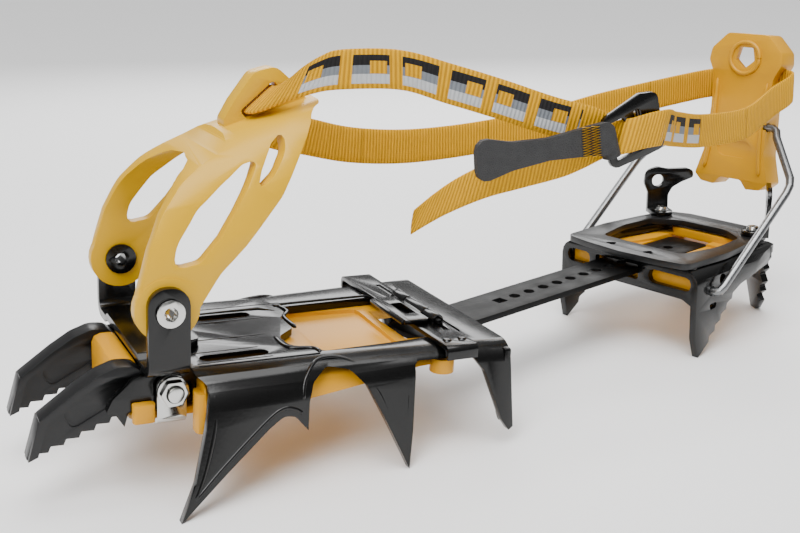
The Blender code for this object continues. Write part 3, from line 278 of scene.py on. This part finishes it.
def webbing(name, start=None, end=None, face=1):
    """Woven webbing. Between start and end, in metres along the strap, one face carries the block pattern."""
    made, tree, shader = finish_of(name, "F0A000", 0.78, IOR=1.5, Specular_IOR_Level=0.25)
    cloth = add(tree, "ShaderNodeAttribute", {"attribute_name": "cloth"}).outputs["Vector"]
    mark = add(tree, "ShaderNodeSeparateXYZ", Vector=cloth).outputs
    rib = maths(tree, "SINE", maths(tree, "MULTIPLY", mark["X"], math.tau / RIB))
    yarn = maths(tree, "SINE", maths(tree, "MULTIPLY", mark["Y"], math.tau / YARN_ACROSS))
    fine = maths(tree, "SINE", maths(tree, "MULTIPLY", mark["X"], math.tau / YARN_ALONG))
    weave = maths(tree, "MULTIPLY", maths(tree, "MULTIPLY", yarn, fine), 0.22)
    height = maths(tree, "ADD", maths(tree, "MULTIPLY", rib, 0.5), weave)
    bump(tree, shader, height, 0.0004)
    # painted shade: the weave's colour follows its height, darker yellow in the grooves between the ribs and
    # brighter on their crowns
    depth = maths(tree, "ADD", maths(tree, "MULTIPLY", height, 0.5), 0.45)
    colour = ramp(tree, depth, ((0.05, linear("A87200")), (0.6, linear("EBAD00"))))
    if start is not None:
        level = maths(tree, "DIVIDE", mark["Y"], STRAP_W)
        greys = (0.0, linear("C5C7C9")), (0.38, linear("7D8288")), (0.6, linear("1F1D1E"))
        bands = ramp(tree, level, greys)
        bands.node.color_ramp.interpolation = "CONSTANT"
        inside = block_pattern(tree, mark, start, end, face)
        colour = add(tree, "ShaderNodeMix", {"data_type": "RGBA"}, i0=inside, i6=colour, i7=bands).outputs[2]
    tree.links.new(colour, shader.inputs["Base Color"])
    return made


print("ribs", round(STRAP_W / RIB, 1), "to a strap's width")

# %% [markdown]
# ## Dressing the engineering pieces
# The imported meshes hold each face apart. A weld joins them, a narrow bevel breaks the sharp edges as the
# coating does on real steel, and edges under 35 degrees are shaded smooth, so round pieces look round. The
# pull tab is cloth, so it keeps its cut edges.

# %% Dress the pieces
SMOOTH_BELOW, BEVEL_ABOVE = math.radians(35), math.radians(38)
EDGE, MOULDED_EDGE = 0.0003, 0.0009  # bevel widths, in metres


def smoothing_group():
    tree = bpy.data.node_groups.new("smooth by angle", "GeometryNodeTree")
    tree.interface.new_socket("Geometry", in_out="INPUT", socket_type="NodeSocketGeometry")
    tree.interface.new_socket("Geometry", in_out="OUTPUT", socket_type="NodeSocketGeometry")
    source = tree.nodes.new("NodeGroupInput").outputs[0]
    faces = add(tree, "GeometryNodeSetShadeSmooth", {"domain": "FACE"}, Geometry=source)
    angle = add(tree, "GeometryNodeInputMeshEdgeAngle").outputs["Unsigned Angle"]
    test = {"data_type": "FLOAT", "operation": "LESS_THAN"}
    wide = add(tree, "FunctionNodeCompare", test, i0=angle, i1=SMOOTH_BELOW)
    edges = add(tree, "GeometryNodeSetShadeSmooth", {"domain": "EDGE"}, Geometry=faces.outputs[0])
    tree.links.new(wide.outputs[0], edges.inputs["Shade Smooth"])
    out = tree.nodes.new("NodeGroupOutput")
    tree.links.new(edges.outputs[0], out.inputs[0])
    return tree


SMOOTH = smoothing_group()


def soften(obj, bevel):
    """Weld, narrow bevel and smooth shading, all as modifiers."""
    weld = obj.modifiers.new("weld", "WELD")
    weld.merge_threshold = 0.000002
    if bevel:
        edge = obj.modifiers.new("edge", "BEVEL")
        edge.width = bevel
        edge.segments = 2
        edge.limit_method = "ANGLE"
        edge.angle_limit = BEVEL_ABOVE
        edge.use_clamp_overlap = True
    shade = obj.modifiers.new("smooth", "NODES")
    shade.node_group = SMOOTH


FINISHES = {
    BLACK: "front_frame toe_post_strip left_strip_rivet right_strip_rivet left_hinge_rivet rail_clip "
    "clip_pin bar_clip heel_frame left_heel_guide right_heel_guide buckle_frame",
    GREY: "left_front_point right_front_point point_spacer",
    BAR_GREY: "linking_bar length_latch",
    RING_GREY: "heel_ring_plate",
    POLISHED: "point_bolt point_nut clamp_bracket right_hinge_eyelet left_guide_screw right_guide_screw "
    "buckle_roller",
    WIRE: "wire_bail",
    CAGE: "toe_cage",
    LEVER: "heel_lever",
    BALL: "front_antiball_plate heel_antiball_plate",
    TAB: "pull_tab",
}
BEVELS = {
    "toe_cage": MOULDED_EDGE,
    "heel_lever": MOULDED_EDGE,
    "front_antiball_plate": 0.0008,
    "heel_antiball_plate": 0.0008,
    "pull_tab": 0.0,
}
for coat, names in FINISHES.items():
    for name in names.split():
        obj = NODES[name]
        obj.data.materials.clear()
        obj.data.materials.append(coat)
        soften(obj, BEVELS.get(name, EDGE))
print("dressed", sum(len(n.split()) for n in FINISHES.values()), "pieces")

# %% [markdown]
# ## Pressed ribs
# Thin sheet is stiffened by pressing beads into it. On the front frame a bead follows the rim of each spike
# and arch, and long ribs run down the toe plate. They are made here as low round beads, sunk into the sheet.
# The heel lever has two raised rails and a rim round its hole, in its own plastic.

# %% Beads along the spikes and ribs on the plate
SHOULDER_X, SHOULDER_Z, SHOULDER_R = 31, -14, 14  # middle and radius of the frame's rounded shoulder, in mm
FLANGE_X, FLANGE_Z = 44.75, -11.3  # where the shoulder runs into the leaning flange
FLARE = math.radians(11)


def flange_x(z):
    """Outer face of the side flange at a height, in millimetres."""
    if z < FLANGE_Z:
        return FLANGE_X + (FLANGE_Z - z) * math.tan(FLARE)
    return SHOULDER_X + math.sqrt(max(SHOULDER_R**2 - (z - SHOULDER_Z) ** 2, 0))


def smooth_line(points, steps=6):
    """A Catmull-Rom line through the points."""
    spots = [Vector(p) for p in points]
    made = []
    for i in range(len(spots) - 1):
        a, b, c, d = spots[max(i - 1, 0)], spots[i], spots[i + 1], spots[min(i + 2, len(spots) - 1)]
        for k in range(steps):
            t = k / steps
            square, cube = 2 * a - 5 * b + 4 * c - d, 3 * b - a - 3 * c + d
            made.append(0.5 * (2 * b + (c - a) * t + square * t**2 + cube * t**3))
    made.append(spots[-1])
    return made


def bead(name, points, radius, coat, body, smooth=True):
    """A round bead along points given in metres, tapering out at both ends."""
    line = smooth_line(points) if smooth else [Vector(p) for p in points]
    curve = bpy.data.curves.new(name, "CURVE")
    curve.dimensions = "3D"
    curve.bevel_depth = radius
    curve.bevel_resolution = 2
    curve.use_fill_caps = True
    spline = curve.splines.new("POLY")
    spline.points.add(len(line) - 1)
    for i, (point, spot) in enumerate(zip(spline.points, line)):
        point.co = (*spot, 1)
        point.radius = 0.35 if i in (0, len(line) - 1) else 1.0
    curve.materials.append(coat)
    obj = bpy.data.objects.new(name, curve)
    bpy.context.scene.collection.objects.link(obj)
    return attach(obj, body)


SIDE_BEADS = (
    ((-105.8, -5.6), (-107.0, -17.0), (-110.8, -30.0), (-114.6, -38.6)),
    ((-114.6, -38.6), (-105.4, -29.8), (-90.2, -17.0), (-83.8, -13.2), (-79.4, -13.8), (-77.0, -15.6)),
    (
        (-76.4, -11.4),
        (-74.6, -5.0),
        (-67.4, -0.9),
        (-58.0, -1.8),
        (-51.2, -8.2),
        (-44.8, -21.6),
        (-41.6, -28.6),
    ),
    ((-39.6, -30.0), (-39.1, -26.6), (-37.8, -12.6), (-36.6, -4.0)),
    ((-10.6, -3.0), (-5.6, -10.2), (0.4, -26.0)),
)
SPIKE_BEAD, PLATE_BEAD, RIM_BEAD = 0.00085, 0.0009, 0.0008  # radii, in metres
SUNK = -0.1  # height of a bead's middle over the plate, in mm
for side in (-1, 1):
    for i, line in enumerate(SIDE_BEADS):
        spots = [place(FRONT, (side * (flange_x(z) - 0.25), y, z)) for y, z in line]
        bead(f"spike_bead_{'lr'[side > 0]}_{i}", spots, SPIKE_BEAD, BLACK, "front_section")

PLATE_RIBS = (
    ((20.0, -109.0), (20.0, -84.0)),
    ((8.0, -101.5), (8.0, -77.0)),
    ((-9.6, -101.5), (-9.6, -71.0)),
    ((-19.8, -108.0), (-19.8, -70.0), (-16.0, -64.6)),
    ((32.0, -108.0), (32.6, -66.0)),
    ((-24.6, -108.0), (-24.4, -60.0)),
    ((30.2, -82.0), (30.0, -108.0)),
)
for i, line in enumerate(PLATE_RIBS):
    spots = [place(FRONT, (x, y, SUNK)) for x, y in line]
    bead(f"plate_rib_{i}", spots, PLATE_BEAD, BLACK, "front_section", False)
WINDOW_RIMS = {
    "far": [(-22.4, -12), (-22.4, -58.5), (-19.6, -61.0), (-13.8, -60.4), (-7.6, -64.0), (4.8, -64.0)],
    "near": [(11.6, -74.8), (23.4, -74.4), (27.0, -66.6), (31.6, -65.4)],
}
for end, rim in WINDOW_RIMS.items():
    bead(f"window_rim_{end}", [place(FRONT, (x, y, SUNK)) for x, y in rim], RIM_BEAD, BLACK, "front_section")

LEVER_FACE = HEEL @ Matrix.Translation((0, 0.0766, 0.025)) @ Matrix.Rotation(math.radians(-5.3), 4, "X")
HOLE_Z, HOLE_HALF_WIDTH, HOLE_HALF_HEIGHT, RIM_STEPS = 58.6, 7.6, 7.2, 20
turns = [k * math.tau / RIM_STEPS for k in range(RIM_STEPS + 1)]
circle = [(HOLE_HALF_WIDTH * math.cos(t), -0.2, HOLE_Z + HOLE_HALF_HEIGHT * math.sin(t)) for t in turns]
bead("lever_hole_rim", [place(LEVER_FACE, p) for p in circle], 0.001, LEVER, "lever")
for side in (-1, 1):
    rail = [(side * 15.0, -0.1, 5), (side * 13.6, -0.1, 16), (side * 12.8, -0.1, 33), (side * 13.4, -0.1, 48)]
    bead(f"lever_rail_{'lr'[side > 0]}", [place(LEVER_FACE, p) for p in rail], 0.0011, LEVER, "lever")
print(len(SIDE_BEADS) * 2, "spike beads,", len(PLATE_RIBS) + len(WINDOW_RIMS), "plate ribs and rims")

# %% [markdown]
# ## The strap
# Webbing leaves the lever, runs along the outer side to the toe cage, turns round the loop at the top of the
# cage and comes back along the inner side to the buckle. A last strand joins the buckle to the lever. Each
# strand is drawn as a flat band that follows a line, with its own width direction at every point. It is cut
# into lengths where it passes from one moving body to the next. A length on one body moves with it; a length
# between two bodies stays where it is drawn.

# %% Strap strands
class Strand:
    """A line of points with width directions, in base millimetres, measured along its length."""

    def __init__(self, knots):
        self.line = smooth_line([p for p, _ in knots], 8)
        self.wide = [w.normalized() for w in smooth_line([Vector(w).normalized() for _, w in knots], 8)]
        self.far = [0.0]
        for a, b in zip(self.line, self.line[1:]):
            self.far.append(self.far[-1] + (b - a).length)

    def length(self):
        return self.far[-1]

    def at(self, distance):
        i = 0
        while i < len(self.far) - 2 and self.far[i + 1] < distance:
            i += 1
        t = (distance - self.far[i]) / (self.far[i + 1] - self.far[i])
        return self.line[i].lerp(self.line[i + 1], t), self.wide[i].lerp(self.wide[i + 1], t).normalized()


# places across the webbing, as parts of its width, and how thick it is there, so that its edges are round
LANES = ((-0.5, 0.35), (-0.47, 0.8), (-0.3, 1.0), (0.0, 1.0), (0.3, 1.0), (0.47, 0.8), (0.5, 0.35))
THICKNESS, ROW_STEP = 1.5, 1.6  # of the webbing, and from one row of points to the next, in mm


def band(name, strand, start, end, coat, slant):
    """A length of webbing between two distances along a strand. A slant cuts its end askew."""
    count = max(2, round((end - start) / ROW_STEP))
    shell = bmesh.new()
    cloth = shell.verts.layers.float_vector.new("cloth")
    rings = []
    for k in range(count + 1):
        upper, lower = [], []
        for lane, fullness in LANES:
            s = start + (end - start) * k / count
            if k == count:
                s += slant * (lane + 0.5)
            middle, wide = strand.at(max(0.0, min(s, strand.length())))
            ahead = strand.at(min(s + 0.5, strand.length()))[0] - strand.at(max(s - 0.5, 0))[0]
            out = ahead.cross(wide).normalized() * fullness * THICKNESS / 2
            base = middle + wide * lane * STRAP_W / MM
            for row, face in ((upper, 1), (lower, -1)):
                vert = shell.verts.new(place(BASE, base + out * face))
                vert[cloth] = (s * MM, (lane + 0.5) * STRAP_W, face)
                row.append(vert)
        rings.append(upper + lower[::-1])
    size = len(rings[0])
    for a, b in zip(rings, rings[1:]):
        for i in range(size):
            shell.faces.new((a[i], a[(i + 1) % size], b[(i + 1) % size], b[i]))
    shell.faces.new(rings[0][::-1])
    shell.faces.new(rings[-1])
    bmesh.ops.recalc_face_normals(shell, faces=shell.faces)
    mesh = bpy.data.meshes.new(name)
    shell.to_mesh(mesh)
    shell.free()
    mesh.materials.append(coat)
    for polygon in mesh.polygons:
        polygon.use_smooth = True
    obj = bpy.data.objects.new(name, mesh)
    bpy.context.scene.collection.objects.link(obj)
    return obj


UPPER = Strand((
    ((0.0, -73.06, 87.17), (0, 0.79, 0.61)),
    ((6.6, -72.9, 87.5), (0, 0.78, 0.62)),
    ((10.4, -69.6, 89.4), (0.05, 0.68, 0.73)),
    ((12.8, -64.4, 92.6), (0.08, 0.5, 0.86)),
    ((15.6, -57.2, 95.8), (0.1, 0.3, 0.95)),
    ((18.6, -49.6, 97.4), (0.1, 0.1, 0.99)),
    ((26.0, -31.2, 96.9), (0.1, -0.05, 1)),
    ((31.0, -14.9, 91.7), (0.1, 0.15, 1)),
    ((35.0, 2.4, 85.8), (0.05, 0.25, 1)),
    ((38.0, 21.0, 79.0), (0.0, 0.3, 1)),
    ((39.6, 36.5, 74.4), (0.0, 0.3, 1)),
    ((40.0, 42.5, 71.6), (0.0, 0.3, 1)),
))
LOWER = Strand((
    ((0.0, -73.06, 87.17), (0, 0.79, 0.61)),
    ((-6.6, -72.8, 86.0), (0, 0.77, 0.64)),
    ((-10.4, -69.6, 80.6), (0, 0.72, 0.69)),
    ((-12.4, -63.4, 73.6), (0, 0.6, 0.8)),
    ((-14.0, -50.0, 69.6), (0, 0.3, 0.95)),
    ((-20.0, -30.1, 63.6), (0, 0.1, 1)),
    ((-27.0, -5.7, 59.4), (0, 0.05, 1)),
    ((-34.0, 20.5, 57.6), (0, 0, 1)),
    ((-39.0, 47.3, 57.8), (0, 0, 1)),
    ((-43.0, 75.0, 59.4), (0, -0.05, 1)),
    ((-47.0, 104.2, 62.9), (0, -0.05, 1)),
    ((-51.4, 135.1, 65.4), (0, -0.05, 1)),
    ((-55.4, 160.0, 67.0), (0, -0.05, 1)),
    ((-57.4, 176.0, 67.8), (0, -0.05, 1)),
    ((-53.0, 184.6, 68.4), (0, -0.05, 1)),
    ((-40.0, 188.4, 69.2), (0, -0.05, 1)),
    ((-27.0, 192.0, 69.8), (0, -0.05, 1)),
    ((-20.4, 192.0, 69.6), (0, -0.05, 1)),
    ((-17.0, 186.6, 68.0), (0, -0.08, 1)),
    ((-13.0, 174.0, 65.0), (0, -0.1, 1)),
    ((0.0, 146.5, 59.6), (0, -0.06, 1)),
    ((14.0, 111.3, 61.8), (0, 0.02, 1)),
    ((29.0, 84.3, 67.2), (0, 0.1, 1)),
    ((39.6, 72.0, 70.6), (0, 0.2, 1)),
    ((44.4, 65.0, 71.8), (0, 0.26, 1)),
    ((45.4, 58.0, 71.6), (0, 0.3, 1)),
    ((45.4, 52.6, 70.8), (0, 0.3, 1)),
    ((44.2, 49.4, 70.0), (0, 0.3, 1)),
    ((42.0, 48.2, 69.6), (0, 0.3, 1)),
))
TAIL = Strand((
    ((42.0, 48.2, 69.6), (0, 0.3, 1)),
    ((39.8, 47.2, 68.8), (0, 0.3, 1)),
    ((38.4, 44.0, 67.4), (0, 0.28, 1)),
    ((37.4, 38.0, 65.0), (0, 0.27, 1)),
    ((37.0, 28.7, 62.6), (0, 0.25, 1)),
    ((36.4, 12.0, 60.4), (0, 0.22, 1)),
    ((35.0, -1.7, 58.0), (0, 0.28, 1)),
    ((33.0, -16.0, 53.0), (0.0, 0.4, 1)),
    ((31.0, -28.0, 46.4), (0.0, 0.55, 1)),
    ((30.4, -32.0, 43.6), (0.0, 0.6, 1)),
))
print("strand lengths mm", round(UPPER.length()), round(LOWER.length()), round(TAIL.length()))


# %% [markdown]
# The webbing pieces below share their ends, so the strap reads as one band. Each one is flat woven cloth, cut
# to the strap's width and its own length along the strand, and stretched between the pieces that hold it.

# %% Hang the strap
WEBBING = webbing("woven polyester webbing, golden yellow")
PATTERNED = webbing("woven polyester webbing, patterned face", 0.0225, 0.124)
TURN_BACK = LOWER.length() * MM
ENDS = webbing("woven polyester webbing, patterned end", TURN_BACK - 0.07, TURN_BACK - 0.0195, -1)


def strap(name, strand, start, end, coat, follows, node, holds, slant=0.0):
    """One length of the strap. A length on one body is bound to it; a length between two bodies is left where
    it is drawn.
    """
    obj = band(name, strand, start, end, coat, slant)
    if len(follows) == 1:
        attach(obj, follows[0])
    else:
        a, b = strand.at(start)[0], strand.at(end)[0]
        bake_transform(obj)
    if node:
        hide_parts(node)
    return obj


def near(strand, y, after=0.0):
    """Distance along a strand, past another distance, where it first passes a place along the object."""
    for s, spot, later in zip(strand.far, strand.line, strand.line[1:]):
        if s >= after and min(spot.y, later.y) <= y <= max(spot.y, later.y):
            return s
    return strand.length()


past_lever = near(LOWER, 150) + 40
back = near(LOWER, 188, past_lever)
low_cuts = [0, near(LOWER, -22), near(LOWER, 42), near(LOWER, 136), near(LOWER, 184), back]
back_cuts = [back, near(LOWER, 146, back), near(LOWER, 104, back), LOWER.length()]
front = ("toe_cage", "front_section")
middle = ("front_section", "heel_section")
heel = ("heel_section", "bail")
lever, buckle = ("heel_lever",), ("buckle_frame",)
whole = UPPER.length()
strap("strap_upper_band", UPPER, 0, whole, PATTERNED, front, "strap_upper", ("toe_cage", "buckle_frame"))
strap("strap_lower_band_front", LOWER, *low_cuts[0:2], WEBBING, front, "strap_lower", ("toe_cage",))
strap("strap_lower_band_middle", LOWER, *low_cuts[1:3], WEBBING, middle, None, ())
strap("strap_lower_band_heel", LOWER, *low_cuts[2:4], WEBBING, heel, None, ())
strap("strap_lower_band_lever", LOWER, *low_cuts[3:5], WEBBING, ("bail", "lever"), None, lever)
strap("strap_lever_turn", LOWER, *low_cuts[4:6], WEBBING, ("lever",), None, lever)
strap("strap_heel_band_lever", LOWER, *back_cuts[0:2], WEBBING, ("lever", "bail"), "strap_heel_loop", lever)
strap("strap_heel_band_middle", LOWER, *back_cuts[1:3], WEBBING, heel[::-1], None, ())
strap("strap_heel_band_front", LOWER, *back_cuts[2:4], ENDS, middle[::-1], None, buckle)
SLANT = 6.0  # how far the tail's end is cut askew, in mm
tail_end = TAIL.length() - SLANT
strap("strap_tail_band", TAIL, 0, tail_end, WEBBING, ("front_section",), "strap_tail", buckle, SLANT)
print("cuts mm", [round(c) for c in low_cuts + back_cuts])

# %% [markdown]
# ## Stitching
# The pull tab of rubberised fabric is folded round the buckle's bar and sewn down with two dense bar tacks.

# %% Bar tacks
TACK_LENGTH, TACK_WIDTH, TACK_TURNS, THREAD_RADIUS = 11.0, 3.4, 24, 0.3  # lengths in mm


def zigzag(name, centre, along, across, coat, body):
    """A dense zigzag of thread: a bar tack."""
    a, b = Vector(along).normalized(), Vector(across).normalized()
    spots = []
    for k in range(TACK_TURNS + 1):
        side = TACK_WIDTH / 2 * (1 if k % 2 else -1)
        spots.append(Vector(centre) + b * (k / TACK_TURNS - 0.5) * TACK_LENGTH + a * side)
    return bead(name, in_base(spots), THREAD_RADIUS * MM, coat, body, False)


for i, y in enumerate((31.2, 35.0)):
    zigzag(f"tab_tack_{i}", (46.5, y, 70.1), (0, 1, 0.05), (0, -0.12, 1), THREAD, "pull_tab")
print("tacks sewn")

# %% [markdown]
# ## Floor, light and camera
# The crampon stands on a plain pale floor under soft studio light: a broad, very soft key light, a large
# panel overhead, a panel behind for the bright bands on the black steel, and a weak fill from the camera's
# side. The sky is pale and brighter towards the top.

# %% Stage
FLOOR_HALF = 30  # metres
floor_mesh = bpy.data.meshes.new("floor")
corners = [(x * FLOOR_HALF, y * FLOOR_HALF, 0) for x, y in ((-1, -1), (1, -1), (1, 1), (-1, 1))]
floor_mesh.from_pydata(corners, [], [(0, 1, 2, 3)])
floor = bpy.data.objects.new("floor", floor_mesh)
bpy.context.scene.collection.objects.link(floor)
floor_mesh.materials.append(finish_of("plain pale floor", "F4F4F4", 0.9)[0])
world = bpy.data.worlds.new("studio")
bpy.context.scene.world = world
world.use_nodes = True
sky = world.node_tree
direction = add(sky, "ShaderNodeTexCoord").outputs["Generated"]
upward = add(sky, "ShaderNodeSeparateXYZ", Vector=direction).outputs["Z"]
glow = ramp(sky, upward, ((0.05, 0.3), (0.45, 0.45), (0.75, 1.0)))
sky.links.new(glow, sky.nodes["Background"].inputs["Color"])
sky.nodes["Background"].inputs["Strength"].default_value = 0.62


def panel(name, spot, target, size, power):
    lamp = bpy.data.lights.new(name, "AREA")
    lamp.shape = "RECTANGLE"
    lamp.size, lamp.size_y = size
    lamp.energy = power
    obj = bpy.data.objects.new(name, lamp)
    obj.location = spot
    obj.rotation_euler = (Vector(target) - Vector(spot)).to_track_quat("-Z", "Y").to_euler()
    bpy.context.scene.collection.objects.link(obj)


panel("overhead panel", (0.1, 0.0, 0.9), (0, 0, 0), (0.7, 0.7), 7.0)
panel("rear panel", (-0.75, 0.35, 0.5), (0, 0, 0.05), (0.9, 0.35), 6.0)
panel("side panel", (0.5, -0.6, 0.55), (0, 0, 0.04), (0.4, 0.3), 3.0)
sun = bpy.data.lights.new("broad key", "SUN")
sun.energy = 2.1
sun.angle = math.radians(40)
key = bpy.data.objects.new("broad key", sun)
key.rotation_euler = (math.radians(18), math.radians(22), 0)
bpy.context.scene.collection.objects.link(key)

CAMERA_AT = (0.38147, -0.21614, 0.18318)
HEADING, DOWN, ROLL = math.radians(63.596), math.radians(17.234), math.radians(-0.506)
lens = bpy.data.cameras.new("camera")
lens.lens = 51.07
lens.shift_x = -0.0102
lens.shift_y = 0.0009
lens.clip_start = 0.01
camera = bpy.data.objects.new("camera", lens)
aim = Matrix.Rotation(HEADING, 4, "Z") @ Matrix.Rotation(math.pi / 2 - DOWN, 4, "X")
camera.matrix_world = Matrix.Translation(CAMERA_AT) @ aim @ Matrix.Rotation(ROLL, 4, "Z")
bpy.context.scene.collection.objects.link(camera)
bpy.context.scene.camera = camera
print("camera at", [round(v, 3) for v in camera.location])

# %% [markdown]
# ## Finish

# %% Finish
bpy.context.view_layer.update()
